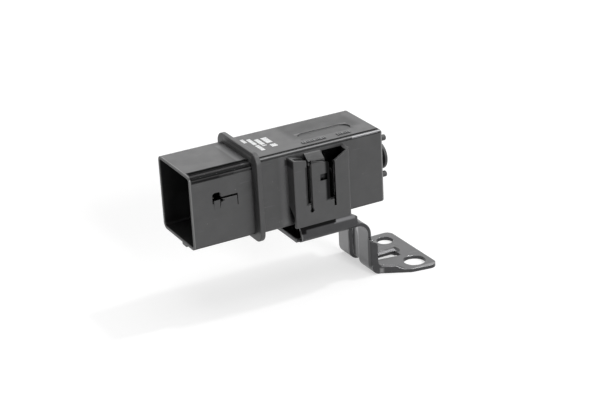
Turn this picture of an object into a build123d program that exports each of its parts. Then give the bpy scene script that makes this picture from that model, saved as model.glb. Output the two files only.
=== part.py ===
from build123d import *
import os

# Glow plug control unit of a diesel car: a black moulded housing with a square connector
# shroud at one end, the driver electronics inside it, and a folded steel bracket that is
# latched into a receiver on the near side and ends in a foot with two mounting holes.
# X runs from the connector mouth to the rear, Y from the near side to the far side, Z up.
# The origin is on the underside of the foot, midway between its two mounting holes.

# Housing, outside
body_width = 28.0
body_height = 30.0
shroud_length = 25.5
collar_thickness = 2.0
collar_near = 4.4
collar_far = 0.9
collar_top = 3.9
collar_bottom = 2.2
collar_corner = 4.5
collar_edge_round = 0.35
shroud_corner = 2.4
body_corner = 1.2
rear_edge_round = 0.6

# Grooves along the near top edge: distance from the edge, and depth below the flat face
body_groove_width = 0.55
body_groove_over = 2.3
body_groove_under = 0.6
body_groove_depth = 0.5
shroud_groove_width = 0.8
shroud_groove_over = 3.2
shroud_groove_under = 0.9
shroud_groove_depth = 0.9
shroud_line_under = 2.5
fine_groove_depth = 0.5
groove_end_gap = 1.2

# Housing, walls and inner fits
shroud_wall = 1.2
body_wall = 1.8
room_corner = 1.0
bulkhead_thickness = 3.0
slide_gap = 0.1
lift_off = 0.3

# Where the housing lies over the foot
housing_lift = 28.5
rear_setback = 10.8
housing_side_offset = 6.3

# Bracket sheet and its receiver on the near side
sheet = 1.5
sheet_gap = 0.15
skin = 1.2
receiver_reach = 5.2
receiver_start = 40.2
receiver_length = 24.4
receiver_foot = 0.9
receiver_end_wall = 1.2
receiver_edge_round = 0.5
receiver_height_front = 28.5
tongue_height_front = 26.9
tongue_height_rear = 24.7
receiver_height_rear = 28.4
slit_front_width = 2.1
slit_rear_width = 2.6
tongue_start = 7.6
tongue_width = 7.5
slit_foot = 9.3
slit_end_width = 0.9
slit_end_foot = 6.5
relief_bore = 1.7
relief_drop = 2.45
tongue_window_long = 3.0
tongue_window_tall = 2.7
tongue_window_height = 19.3
tongue_window_edge = 0.9
hook_drop = 1.1
hook_height = 3.4
hook_side_gap = 1.5
side_arch_inner = 9.1
side_arch_outer = 5.3
side_arch_length = 2.7
pocket_end_gap = 1.0
pocket_depth = 2.6
pocket_tall = 7.8
pocket_roof = 2.2
stop_boss_width = 7.0
stop_boss_inset = 0.6
stop_boss_height = 28.4
stop_boss_slope = 2.4

# Locking window for the plug on the near side of the shroud, and the lug below the mouth
lock_start = 8.6
lock_length = 3.6
lock_foot = 18.6
lock_height = 2.9
lock_corner = 0.8
lock_slot_length = 6.9
lock_slot_height = 0.8
lock_ramp_length = 2.5
lock_ramp_height = 3.8
lock_ramp_reach = 0.4
lock_side_gap = 0.5
lock_left_drop = 1.2
lock_wedge_length = 2.2
lock_line_width = 0.3
lock_top_fall = 2.0
mouth_lug_length = 3.2
mouth_lug_width = 4.0
mouth_lug_drop = 1.4
mouth_lug_start = 0.4
mouth_lug_side = 3.6
mouth_lug_round = 0.6

# Recess for a label on the roof
label_start = 52.0
label_length = 22.4
label_width = 7.0
label_side = 12.0
label_depth = 0.35

# Bracket plate and the wall that enters the receiver
plate_gap = 5.4
plate_front_gap = 1.7
plate_bend = 3.0
plate_end_gap = 1.0
wall_top = 24.0
wall_foot_cut = 1.65
wall_foot_drop = 2.7
wall_step_height = 2.7
wall_flare_length = 2.1
wall_flare_drop = 1.2
wall_window_height = 6.0
wall_window_margin = 0.8

# Bracket arm, its side lip and the foot
arm_setback = 19.75
arm_inset = 2.35
arm_width = 23.7
top_bend = 6.0
bottom_bend = 4.0
lip_depth = 3.0
lip_height = 15.1
lip_slope = 1.7
lip_low_height = 5.5
lip_low_round = 2.0
lip_run_height = 2.9
lip_run_length = 6.2
lip_run_fall = 3.2
hole_pitch = 22.8
small_hole = 7.0
large_hole = 9.0
foot_end_margin = 6.2
foot_end_flare = 0.3
foot_far_margin = 6.6
foot_near_margin = 8.0
foot_lobe_setback = 5.0
foot_lobe_margin = 6.2
foot_neck = 1.0
foot_shoulder = 5.0
foot_corner = 3.0
lobe_round = 5.0
groove_width = 7.6
groove_depth = 1.2
groove_flank = 1.0
groove_end = -5.0
bead_width = 8.2
bead_height = 1.6
bead_flank = 2.4
bead_side = 2.3
bead_top = 13.0
bead_end = -3.0
foot_slot_width = 3.6
foot_slot_narrow = 2.0
foot_slot_length = 10.7
foot_slot_end = -1.7
foot_slot_bite = 1.1
foot_slot_round = 0.9

# Rear cover with its vent
cover_thickness = 2.0
cover_inset = 1.0
seal_thickness = 0.6
vent_radius = 5.4
vent_wall = 1.4
vent_reach = 3.5
vent_side = 7.5
vent_height = 16.5
vent_bore = 2.0
membrane_thickness = 0.3
peg_radius = 1.2
peg_reach = 3.0
peg_side = 3.2
low_peg_height = 10.2
high_peg_drop = 4.6

# Circuit board
board_thickness = 1.6
board_height = 9.0
board_front_gap = 3.5
board_length = 46.0
board_rear_gap = 2.5
rail_size = 1.0

# Terminals and their carrier
blade_thickness = 0.8
blade_reach = 12.0
blade_tail = 5.0
blade_tip = 0.25
blade_gap = 1.6
blade_edge = 0.8
signal_width = 0.8
signal_height = 15.5
signal_leg_gap = 0.6
power_width = 8.0
power_height = 20.0
power_leg_gap = 1.0
carrier_flange = 2.0
carrier_rim = 0.8
carrier_side_gap = 0.2
carrier_foot = 1.4
carrier_head = 1.8

# Components on the board
part_gap = 1.6
part_side_gap = 0.45
part_bevel = 0.5
switch_height = 4.4
switch_tab_reach = 1.0
switch_tab_thickness = 1.2
shunt_length = 3.4
shunt_width = 3.2
shunt_height = 0.8
busbar_width = 1.4
busbar_height = 3.6
spreader_margin = 1.8
spreader_side_gap = 1.2
spreader_thickness = 2.6
spreader_groove = 1.6
board_edge_gap = 0.5
capacitor_radius = 3.9
capacitor_height = 9.2
regulator_length = 6.2
regulator_width = 4.6
regulator_height = 2.2
chip_size = 7.0
chip_height = 1.4
chip_bevel = 0.25
diode_start = 1.5
diode_length = 7.0
diode_width = 6.0
diode_height = 2.4

# Places that follow from the sizes above
body_length = board_front_gap + board_length + board_rear_gap + seal_thickness + cover_thickness
rear_x = -rear_setback
collar_rear_x = rear_x - body_length
collar_front_x = collar_rear_x - collar_thickness
mouth_x = collar_front_x - shroud_length
centre_y = housing_side_offset
near_y = centre_y - body_width / 2
far_y = centre_y + body_width / 2
floor_z = housing_lift
roof_z = floor_z + body_height
centre_z = (floor_z + roof_z) / 2
bulkhead_rear_x = collar_rear_x
bulkhead_front_x = bulkhead_rear_x - bulkhead_thickness
ledge_x = rear_x - cover_thickness - seal_thickness
board_front_x = bulkhead_rear_x + board_front_gap
board_rear_x = board_front_x + board_length
board_under_z = floor_z + board_height
board_top_z = board_under_z + board_thickness
receiver_x = mouth_x + receiver_start
receiver_end_x = receiver_x + receiver_length
receiver_y = near_y - receiver_reach
skin_y = receiver_y + skin
wall_outer_y = skin_y + sheet_gap
wall_inner_y = wall_outer_y + sheet
tongue_x = receiver_x + tongue_start
tongue_end_x = tongue_x + tongue_width
slit_end_x = tongue_end_x + slit_rear_width
tongue_window_z = floor_z + tongue_window_height - tongue_window_tall / 2
plate_top_z = floor_z - plate_gap
plate_under_z = plate_top_z - sheet
arm_x = -arm_setback
arm_back_x = arm_x + sheet
arm_near_y = wall_outer_y + arm_inset
arm_far_y = arm_near_y + arm_width
low_bend_x = arm_x + bottom_bend
plate_front_x = receiver_x + plate_front_gap
wall_end_x = arm_back_x - top_bend - plate_end_gap
lip_y = wall_outer_y
hole_y = hole_pitch / 2
lobe_y = -hole_y - foot_lobe_margin

# Room for the terminals and the components
half_room = body_width / 2 - body_wall
part_room = half_room - rail_size
carrier_width = 2 * (half_room - carrier_rim - carrier_side_gap)
carrier_height = power_height + blade_thickness + carrier_head - board_height + carrier_foot
carrier_z = floor_z + board_height - carrier_foot + carrier_height / 2
output_width = (carrier_width - 2 * blade_edge - 3 * blade_gap) / 4
output_pitch = output_width + blade_gap
power_leg_x = board_front_x + blade_tail + power_leg_gap
shunt_x = power_leg_x + blade_thickness + part_gap + shunt_length / 2
capacitor_x = board_rear_x - board_edge_gap - capacitor_radius
switch_start_x = shunt_x + shunt_length / 2 + part_gap
switch_end_x = capacitor_x - capacitor_radius - part_gap
switch_length = (switch_end_x - switch_start_x - part_gap) / 2
switch_width = part_room - busbar_width / 2 - 2 * part_side_gap
switch_side = busbar_width / 2 + part_side_gap + switch_width / 2
rear_part_gap = (2 * part_room - regulator_width - chip_size - 2 * capacitor_radius) / 4


def block(x0, x1, y0, y1, z0, z1):
    """A box between two corners."""
    box = Box(x1 - x0, y1 - y0, z1 - z0)
    return Pos((x0 + x1) / 2, (y0 + y1) / 2, (z0 + z1) / 2) * box


def along_x(section, x0, x1, y=centre_y, z=centre_z):
    """A section, drawn with Y to the right and Z up, drawn out from x0 to x1."""
    plane = Plane(origin=(x0, y, z), x_dir=(0, 1, 0), z_dir=(1, 0, 0))
    return extrude(plane * section, amount=x1 - x0)


def outline_along_x(points, x0, x1):
    """An outline of (y, z) points drawn out from x0 to x1."""
    wire = Polyline(*[(x0, y, z) for y, z in points], close=True)
    return extrude(make_face(wire), amount=x1 - x0, dir=(1, 0, 0))


def outline_along_y(points, y0, y1):
    """An outline of (x, z) points drawn out from y0 to y1."""
    wire = Polyline(*[(x, y0, z) for x, z in points], close=True)
    return extrude(make_face(wire), amount=y1 - y0, dir=(0, 1, 0))


def upright(solid):
    """The edges of a solid that run along Z."""
    return solid.edges().filter_by(Axis.Z)


# Housing


def collar():
    """The plate round the root of the shroud, which stands out most on the near side and the top."""
    wide = body_width + collar_near + collar_far
    tall = body_height + collar_top + collar_bottom
    y = centre_y + (collar_far - collar_near) / 2
    z = centre_z + (collar_top - collar_bottom) / 2
    plate = along_x(RectangleRounded(wide, tall, collar_corner), collar_front_x, collar_rear_x, y, z)
    faces = plate.faces().sort_by(Axis.X)
    return fillet(faces[0].edges() + faces[-1].edges(), collar_edge_round)


def shroud_and_body():
    """The square tube of the connector shroud, the collar and the closed body."""
    shroud = along_x(RectangleRounded(body_width, body_height, shroud_corner), mouth_x, collar_front_x)
    shell = along_x(RectangleRounded(body_width, body_height, body_corner), collar_rear_x, rear_x)
    shell = fillet(shell.faces().sort_by(Axis.X)[-1].edges(), rear_edge_round)
    return shroud + collar() + shell


def edge_grooves():
    """The fine grooves along the near top edge of the shroud and of the body."""
    shroud_x = (mouth_x + groove_end_gap, collar_front_x)
    body_x = (collar_rear_x, rear_x - groove_end_gap)
    cuts = []
    for ends, width, over in ((shroud_x, shroud_groove_width, shroud_groove_over),
                              (body_x, body_groove_width, body_groove_over)):
        cuts.append(block(*ends, near_y + over - width / 2, near_y + over + width / 2,
                          roof_z - fine_groove_depth, roof_z + 1))
    side_lines = (
        (shroud_x, shroud_groove_width, shroud_groove_under, shroud_groove_depth),
        (shroud_x, body_groove_width, shroud_line_under, fine_groove_depth),
        (body_x, body_groove_width, body_groove_under, body_groove_depth),
    )
    for ends, width, under, depth in side_lines:
        cuts.append(block(*ends, near_y - 1, near_y + depth,
                          roof_z - under - width / 2, roof_z - under + width / 2))
    return cuts


def receiver_block():
    """The raised block on the near side, with its top falling towards the tongue."""
    foot = floor_z + receiver_foot
    outline = [
        (receiver_x, foot),
        (receiver_end_x, foot),
        (receiver_end_x, floor_z + receiver_height_rear),
        (slit_end_x, floor_z + tongue_height_rear),
        (tongue_end_x, floor_z + tongue_height_rear),
        (tongue_x, floor_z + tongue_height_front),
        (receiver_x, floor_z + receiver_height_front),
    ]
    pad = outline_along_y(outline, receiver_y, near_y + body_wall / 2)
    ends = upright(pad).group_by(Axis.Y)[0].sort_by(Axis.X)
    pad = fillet(ends[0], receiver_edge_round)
    ends = upright(pad).group_by(Axis.Y)[0].sort_by(Axis.X)
    return fillet(ends[-1], skin)


def tongue_slits(top):
    """The two slits that free the tongue, each ending in a narrower relief."""
    outside = receiver_y - 1
    inside = skin_y + slide_gap
    slot_z = floor_z + slit_foot
    relief_z = slot_z - relief_drop
    front = block(tongue_x - slit_front_width, tongue_x, outside, inside, slot_z, top)
    rear = block(tongue_end_x, slit_end_x, outside, inside, slot_z, top)
    thin = block(slit_end_x - slit_end_width, slit_end_x, outside, inside, floor_z + slit_end_foot, top)
    neck = block(tongue_x - slit_end_width, tongue_x, outside, inside, relief_z, top)
    bore = Pos(tongue_x - slit_end_width / 2, (receiver_y + skin_y) / 2, relief_z) * Rot(90, 0, 0)
    return [front, rear, thin, neck, bore * Cylinder(relief_bore / 2, 2 * skin)]


def receiver_cuts():
    """The channel for the bracket, the pocket behind the tongue, its window and the slits."""
    foot = floor_z + receiver_foot - 1
    top = roof_z + 1
    channel = block(receiver_x + receiver_end_wall, receiver_end_x - receiver_end_wall,
                    skin_y, wall_inner_y + sheet_gap, foot, top)
    pocket = block(tongue_x - slit_front_width, slit_end_x, skin_y, near_y, foot, top)
    window_x = tongue_end_x - tongue_window_edge
    window = block(window_x - tongue_window_long, window_x, receiver_y - 1, skin_y + slide_gap,
                   tongue_window_z, tongue_window_z + tongue_window_tall)
    arch = outline_along_x([
        (near_y, foot), (near_y, floor_z + side_arch_inner),
        (skin_y, floor_z + side_arch_outer), (skin_y, foot)],
        receiver_x - 1, receiver_x + side_arch_length - 1)
    opening = block(slit_end_x, receiver_end_x - receiver_end_wall, skin_y, near_y,
                    roof_z - pocket_roof - pocket_tall, top)
    return [channel, pocket, window, arch, opening] + tongue_slits(top)


def rear_pocket(extra):
    """The deep opening over the rear half of the receiver, grown by extra into the body."""
    return block(tongue_end_x - extra, receiver_end_x - pocket_end_gap + extra,
                 near_y - 1, near_y + pocket_depth + extra,
                 roof_z - pocket_roof - pocket_tall - extra, roof_z - pocket_roof + extra)


def latch_hook():
    """The hook behind the tongue that drops into the window of the bracket."""
    back = skin_y - skin / 4
    points = [(back, tongue_window_z - hook_height), (wall_outer_y + hook_drop, tongue_window_z),
              (back, tongue_window_z)]
    return outline_along_x(points, tongue_x + hook_side_gap, tongue_end_x - hook_side_gap)


def stop_boss():
    """The boss over the tongue that stops the bracket, with a top that falls outwards."""
    outer = skin_y + stop_boss_inset
    inner = near_y + body_wall / 4
    foot = floor_z + wall_top + lift_off
    top = floor_z + stop_boss_height
    points = [(inner, foot), (outer, foot), (outer, top - stop_boss_slope), (near_y, top), (inner, top)]
    start = tongue_x - lift_off
    return outline_along_x(points, start, start + stop_boss_width)


def lock_cuts():
    """The plug's locking window with its slot, the gaps beside its ramp and the line of its tab."""
    x0 = mouth_x + lock_start
    x1 = x0 + lock_length
    slot_end = x1 + lock_slot_length
    z0 = floor_z + lock_foot
    outside = near_y - 1
    inside = near_y + shroud_wall + 1
    window = block(x0, x1, outside, inside, z0, z0 + lock_height)
    window = chamfer(window.edges().filter_by(Axis.Y).group_by(Axis.Z)[-1], lock_corner)
    slot = block(x1 - lock_corner, slot_end, outside, inside, z0, z0 + lock_slot_height)
    left = block(x0, x0 + lock_side_gap, outside, inside, z0 - lock_left_drop, z0 + slide_gap)
    ramp_end = x0 + lock_side_gap + lock_ramp_length
    right = outline_along_y([
        (ramp_end, z0 + slide_gap), (ramp_end, z0 - lock_ramp_height),
        (ramp_end + lock_side_gap, z0 - lock_left_drop),
        (ramp_end + lock_wedge_length, z0 - lock_slot_height), (x1, z0 + slide_gap)], outside, inside)
    fall = outline_along_x([
        (near_y - lock_ramp_reach, z0 + slide_gap), (near_y - lock_ramp_reach, z0),
        (inside, z0 - lock_top_fall), (inside, z0 + slide_gap)], x0, ramp_end + slide_gap)
    line = block(slot_end - lock_line_width, slot_end, outside, near_y + fine_groove_depth,
                 z0 - lock_ramp_height, z0 + slide_gap)
    return [window, slot, left, right, fall, line]


def lock_ramp():
    """The ramp below the locking window, which stands out most at its top."""
    x0 = mouth_x + lock_start + lock_side_gap
    z0 = floor_z + lock_foot
    points = [(near_y + shroud_wall / 2, z0 - lock_ramp_height), (near_y, z0 - lock_ramp_height),
              (near_y - lock_ramp_reach, z0), (near_y + shroud_wall / 2, z0)]
    return outline_along_x(points, x0, x0 + lock_ramp_length)


def mouth_lug():
    """The lug below the mouth of the shroud."""
    x0 = mouth_x + mouth_lug_start
    y0 = centre_y - mouth_lug_side - mouth_lug_width / 2
    lug = block(x0, x0 + mouth_lug_length, y0, y0 + mouth_lug_width,
                floor_z - mouth_lug_drop, floor_z + shroud_wall / 2)
    return fillet(lug.edges().filter_by(Axis.X).group_by(Axis.Z)[0], mouth_lug_round)


def board_rails(side_y, inward):
    """The two rails on one inner side wall that hold an edge of the board."""
    edge = side_y + inward * rail_size
    y0, y1 = min(side_y, edge), max(side_y, edge)
    x0 = bulkhead_rear_x + carrier_flange + slide_gap
    low = block(x0, ledge_x, y0, y1, board_under_z - rail_size, board_under_z)
    high_z = board_top_z + slide_gap
    high = block(x0, ledge_x, y0, y1, high_z, high_z + rail_size)
    return low + high


def carrier_section(gap):
    """The outline of the terminal carrier's body, grown by gap."""
    return Rectangle(carrier_width + 2 * gap, carrier_height + 2 * gap)


def room_section():
    """The outline of the room inside the body."""
    return RectangleRounded(2 * half_room, body_height - 2 * body_wall, room_corner)


def housing():
    """The one-piece housing: shroud, collar, body, receiver and latch tongue."""
    solid = shroud_and_body() + receiver_block()
    for cut in receiver_cuts():
        solid -= cut
    solid += stop_boss()
    solid += latch_hook()
    solid += lock_ramp()
    solid += mouth_lug()
    inner = RectangleRounded(body_width - 2 * shroud_wall, body_height - 2 * shroud_wall,
                             shroud_corner - shroud_wall)
    solid -= along_x(inner, mouth_x - 1, bulkhead_front_x)
    for cut in lock_cuts() + edge_grooves():
        solid -= cut
    solid -= along_x(room_section(), bulkhead_rear_x, rear_x + 1) - rear_pocket(body_wall)
    solid -= rear_pocket(0)
    seat = RectangleRounded(body_width - 2 * cover_inset, body_height - 2 * cover_inset, body_corner)
    solid -= along_x(seat, ledge_x, rear_x + 1)
    solid += board_rails(near_y + body_wall, 1)
    solid += board_rails(far_y - body_wall, -1)
    solid -= along_x(carrier_section(slide_gap), bulkhead_front_x - 1, bulkhead_rear_x + 1, z=carrier_z)
    mark = Pos(mouth_x + label_start + label_length / 2, near_y + label_side, roof_z - label_depth)
    solid -= extrude(mark * SlotOverall(label_length, label_width), amount=2 * label_depth)
    return solid


# Rear end


def cover_section():
    """The outline shared by the rear cover and its seal."""
    inset = cover_inset + slide_gap
    return RectangleRounded(body_width - 2 * inset, body_height - 2 * inset, body_corner)


def rear_cover():
    """The cover set into the rear of the housing, with the vent ring and two guard pegs."""
    y = near_y + vent_side
    z = floor_z + vent_height
    root_x = rear_x - cover_thickness / 2
    ring = along_x(Circle(vent_radius), root_x, rear_x + vent_reach, y, z)
    ring = fillet(ring.faces().sort_by(Axis.X)[-1].edges(), vent_wall / 4)
    solid = along_x(cover_section(), rear_x - cover_thickness, rear_x) + ring
    for height in (low_peg_height, body_height - high_peg_drop):
        peg = along_x(Circle(peg_radius), root_x, rear_x + peg_reach, near_y + peg_side, floor_z + height)
        solid += fillet(peg.faces().sort_by(Axis.X)[-1].edges(), peg_radius / 3)
    solid -= along_x(Circle(vent_radius - vent_wall), rear_x, rear_x + vent_reach + 1, y, z)
    return solid - along_x(Circle(vent_bore), rear_x - cover_thickness - 1, rear_x + 1, y, z)


def rear_seal():
    """The flat sealing ring between the cover and the ledge in the housing."""
    return along_x(cover_section() - room_section(), ledge_x, ledge_x + seal_thickness)


def vent_membrane():
    """The breathable disc at the bottom of the vent ring."""
    disc = Circle(vent_radius - vent_wall - slide_gap)
    return along_x(disc, rear_x, rear_x + membrane_thickness, near_y + vent_side, floor_z + vent_height)


# Terminals


def output_places():
    """The side places of the four output blades."""
    return [centre_y + (i - 1.5) * output_pitch for i in range(4)]


def signal_places():
    """The side places of the three signal pins, between the output blades."""
    return [centre_y + (i - 1) * output_pitch for i in range(3)]


def output_blade(y):
    """A flat blade that runs straight from the socket onto the board."""
    blade = block(bulkhead_front_x - blade_reach, board_front_x + blade_tail,
                  y - output_width / 2, y + output_width / 2,
                  board_top_z, board_top_z + blade_thickness)
    return chamfer(blade.faces().sort_by(Axis.X)[0].edges().filter_by(Axis.Y), blade_tip)


def bent_terminal(y, width, height, leg_x):
    """A terminal at a height above the floor that is bent down onto the board at leg_x."""
    z = floor_z + height
    bar = block(bulkhead_front_x - blade_reach, leg_x + blade_thickness,
                y - width / 2, y + width / 2, z, z + blade_thickness)
    leg = block(leg_x, leg_x + blade_thickness, y - width / 2, y + width / 2,
                board_top_z, z + blade_thickness)
    solid = bar + leg
    solid = chamfer(solid.faces().sort_by(Axis.X)[0].edges().filter_by(Axis.Y), blade_tip)
    bend = solid.edges().filter_by(Axis.Y).group_by(Axis.X)[-1].sort_by(Axis.Z)[-1]
    return fillet(bend, blade_thickness)


def signal_pin(y):
    """A narrow pin, bent down between two output blades."""
    return bent_terminal(y, signal_width, signal_height, board_front_x + signal_leg_gap)


def power_blade():
    """The wide supply blade in the upper row."""
    return bent_terminal(centre_y, power_width, power_height, power_leg_x)


def terminal_carrier():
    """The insulating block that holds the blades and pins in the bulkhead."""
    solid = along_x(carrier_section(0), bulkhead_front_x, bulkhead_rear_x, z=carrier_z)
    solid += along_x(carrier_section(carrier_rim), bulkhead_rear_x,
                     bulkhead_rear_x + carrier_flange, z=carrier_z)
    for y in output_places():
        solid -= output_blade(y)
    for y in signal_places():
        solid -= signal_pin(y)
    return solid - power_blade()


# Electronics


def circuit_board():
    """The board, held by its long edges between the rails."""
    return block(board_front_x, board_rear_x, near_y + body_wall + slide_gap,
                 far_y - body_wall - slide_gap, board_under_z, board_top_z)


def on_board(x, y, long, wide, tall):
    """A component block that stands on the board, with its middle at x and y."""
    return block(x - long / 2, x + long / 2, y - wide / 2, y + wide / 2,
                 board_top_z, board_top_z + tall)


def switch_places():
    """The middles of the four power switches, in two rows of two."""
    front = switch_start_x + switch_length / 2
    rear = switch_end_x - switch_length / 2
    return [(x, centre_y + side * switch_side) for side in (-1, 1) for x in (front, rear)]


def power_switch(x, y):
    """A power transistor: a moulded body over its metal tab."""
    body = on_board(x, y, switch_length - 2 * switch_tab_reach, switch_width, switch_height)
    body = chamfer(body.faces().sort_by(Axis.Z)[-1].edges(), part_bevel)
    return body + on_board(x, y, switch_length, switch_width - switch_tab_reach, switch_tab_thickness)


def current_shunt(y):
    """A flat measuring resistor in front of the switches."""
    return on_board(shunt_x, y, shunt_length, shunt_width, shunt_height)


def busbar():
    """The copper rail that carries the supply between the two rows of switches."""
    long = switch_end_x - switch_start_x
    return on_board((switch_start_x + switch_end_x) / 2, centre_y, long, busbar_width, busbar_height)


def heat_spreader():
    """The aluminium plate under the switches, with cooling grooves."""
    x0 = switch_start_x - spreader_margin
    x1 = switch_end_x + spreader_margin
    wide = 2 * (part_room - spreader_side_gap)
    plate = block(x0, x1, centre_y - wide / 2, centre_y + wide / 2,
                  board_under_z - spreader_thickness, board_under_z)
    count = 6
    for i in range(count):
        y = centre_y + (i - (count - 1) / 2) * wide / count
        plate -= block(x0 - 1, x1 + 1, y - spreader_groove / 2, y + spreader_groove / 2,
                       board_under_z - spreader_thickness - 1, board_under_z - spreader_thickness / 2)
    return plate


def voltage_regulator():
    """The small regulator beside the control chip, at the rear edge of the board."""
    x = board_rear_x - board_edge_gap - regulator_length / 2
    y = centre_y - part_room + rear_part_gap + regulator_width / 2
    return on_board(x, y, regulator_length, regulator_width, regulator_height)


def microcontroller():
    """The square control chip between the regulator and the capacitor."""
    x = board_rear_x - board_edge_gap - chip_size / 2
    y = centre_y - part_room + 2 * rear_part_gap + regulator_width + chip_size / 2
    chip = on_board(x, y, chip_size, chip_size, chip_height)
    return chamfer(chip.faces().sort_by(Axis.Z)[-1].edges(), chip_bevel)


def capacitor():
    """The upright can that smooths the supply."""
    y = centre_y + part_room - rear_part_gap - capacitor_radius
    can = Pos(capacitor_x, y, board_top_z + capacitor_height / 2)
    can *= Cylinder(capacitor_radius, capacitor_height)
    return fillet(can.edges().filter_by(GeomType.CIRCLE), part_bevel)


def surge_diode():
    """The surge diode under the front of the board."""
    x0 = board_front_x + diode_start
    return block(x0, x0 + diode_length, centre_y - diode_width / 2, centre_y + diode_width / 2,
                 board_under_z - diode_height, board_under_z)


# Bracket


def folded_strip(y0, y1):
    """Plate, arm and foot as one strip of sheet, seen from the side, between y0 and y1."""
    end_x = foot_end_margin + foot_end_flare
    top_x = arm_back_x - top_bend
    with BuildPart() as strip:
        with BuildSketch(Plane.XZ.offset(-y0)):
            with BuildLine():
                l1 = Line((plate_front_x, plate_top_z), (top_x, plate_top_z))
                a1 = RadiusArc(l1 @ 1, (arm_back_x, plate_top_z - top_bend), top_bend)
                l2 = Line(a1 @ 1, (arm_back_x, bottom_bend))
                a2 = RadiusArc(l2 @ 1, (low_bend_x, sheet), -(bottom_bend - sheet))
                l3 = Line(a2 @ 1, (end_x, sheet))
                l4 = Line(l3 @ 1, (end_x, 0))
                l5 = Line(l4 @ 1, (low_bend_x, 0))
                a3 = RadiusArc(l5 @ 1, (arm_x, bottom_bend), bottom_bend)
                l6 = Line(a3 @ 1, (arm_x, plate_top_z - top_bend))
                a4 = RadiusArc(l6 @ 1, (top_x, plate_under_z), -(top_bend - sheet))
                l7 = Line(a4 @ 1, (plate_front_x, plate_under_z))
                Line(l7 @ 1, l1 @ 0)
            make_face()
        extrude(amount=-(y1 - y0))
    return strip.part


def foot_outline():
    """The foot seen from above: straight far and end edges and a slanted near edge."""
    far = hole_y + foot_far_margin
    near = -hole_y - foot_near_margin
    lobe_x = -foot_lobe_setback
    shoulder_x = low_bend_x + foot_shoulder
    with BuildSketch() as outline:
        with BuildLine():
            Polyline((arm_x - 1, arm_far_y), (low_bend_x + foot_neck, arm_far_y), (shoulder_x, far),
                     (foot_end_margin, far), (foot_end_margin + foot_end_flare, near), (lobe_x, lobe_y),
                     (low_bend_x, lip_y), (arm_x - 1, lip_y), (arm_x - 1, arm_far_y))
        make_face()
        corners = outline.vertices().sort_by(Axis.X)[-2:]
        fillet(corners, foot_corner)
        lobe = [v for v in outline.vertices() if abs(v.X - lobe_x) < slide_gap]
        fillet(lobe, lobe_round)
    return outline.sketch


def arm_region():
    """All of the space that the strip may fill: plate, arm and foot have their own widths."""
    top = lip_height + 1
    upper = block(receiver_x - 1, arm_back_x + 1, arm_near_y, arm_far_y, -1, roof_z)
    plate = block(receiver_x - 1, wall_end_x, wall_outer_y, arm_near_y + 1, top, roof_z)
    side = block(arm_x - 1, low_bend_x, lip_y + sheet / 2, arm_near_y + 1, -1, lip_height)
    foot = extrude(Pos(0, 0, -1) * foot_outline(), amount=bottom_bend + 1)
    return upper + plate + side + foot


def near_lip():
    """The lip folded back along the near edge of the arm."""
    x1 = arm_x + lip_depth
    x2 = x1 + lip_low_round
    with BuildPart() as lip:
        with BuildSketch(Plane.XZ.offset(-lip_y)):
            with BuildLine():
                l1 = Line((arm_x, bottom_bend), (arm_x, lip_height))
                l2 = Line(l1 @ 1, (x1, lip_height - lip_slope))
                l3 = Line(l2 @ 1, (x1, lip_low_height))
                a1 = RadiusArc(l3 @ 1, (x2, lip_low_height - lip_low_round), -lip_low_round)
                l4 = Line(a1 @ 1, (x2, 0))
                l5 = Line(l4 @ 1, (low_bend_x, 0))
                RadiusArc(l5 @ 1, l1 @ 0, bottom_bend)
            make_face()
        extrude(amount=-sheet)
    solid = lip.part
    fold = upright(solid).group_by(Axis.X)[0].group_by(Axis.Y)[0]
    return fillet(fold, sheet / 2)


def lip_run():
    """The end of the lip, standing on the slanted edge of the foot and running out along it."""
    start = Vector(low_bend_x, lip_y, 0)
    along = (Vector(-foot_lobe_setback, lobe_y, 0) - start).normalized()
    plane = Plane(origin=start, x_dir=along, z_dir=along.cross(Vector(0, 0, 1)))
    end = lip_run_length + lip_run_fall
    with BuildSketch() as profile:
        with BuildLine():
            Polyline((0, 0), (0, lip_run_height), (lip_run_length, lip_run_height),
                     (end, sheet), (end, 0), (0, 0))
        make_face()
    return extrude(plane * profile.sketch, amount=-sheet)


def side_wall():
    """The wall folded up from the near edge of the plate into the receiver, slotted into three prongs."""
    y0 = wall_outer_y
    bend_y = y0 + plate_bend
    bend_z = plate_under_z + plate_bend
    top = floor_z + wall_top
    with BuildPart() as wall:
        with BuildSketch(Plane(origin=(receiver_x, 0, 0), x_dir=(0, 1, 0), z_dir=(1, 0, 0))):
            with BuildLine():
                l1 = Line((bend_y, plate_under_z), (bend_y, plate_top_z))
                a1 = RadiusArc(l1 @ 1, (y0 + sheet, bend_z), plate_bend - sheet)
                l2 = Line(a1 @ 1, (y0 + sheet, top))
                l3 = Line(l2 @ 1, (y0, top))
                l4 = Line(l3 @ 1, (y0, bend_z))
                RadiusArc(l4 @ 1, l1 @ 0, -plate_bend)
            make_face()
        extrude(amount=wall_end_x - receiver_x)
    left = receiver_x + receiver_end_wall + sheet_gap
    right = receiver_end_x - receiver_end_wall - sheet_gap
    flare_x = right + wall_flare_length
    keep = outline_along_y([
        (left + wall_foot_cut, plate_under_z - 1), (left + wall_foot_cut, floor_z - wall_foot_drop),
        (left, floor_z + wall_step_height), (left, top + 1), (right, top + 1),
        (right, floor_z + receiver_foot), (flare_x, floor_z),
        (flare_x + wall_flare_length, floor_z - wall_flare_drop),
        (wall_end_x, plate_top_z + sheet), (wall_end_x, plate_under_z - 1)],
        y0 - 1, bend_y + 1)
    solid = wall.part & keep
    window = block(tongue_x + wall_window_margin, tongue_end_x - wall_window_margin, y0 - 1, y0 + sheet + 1,
                   tongue_window_z - wall_window_height, tongue_window_z + lift_off)
    solid -= window
    for start, end in ((tongue_x - slit_front_width, tongue_x), (tongue_end_x, slit_end_x)):
        solid -= block(start, end, y0 - 1, y0 + sheet + 1, floor_z + slit_foot, top + 1)
    return solid


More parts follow.
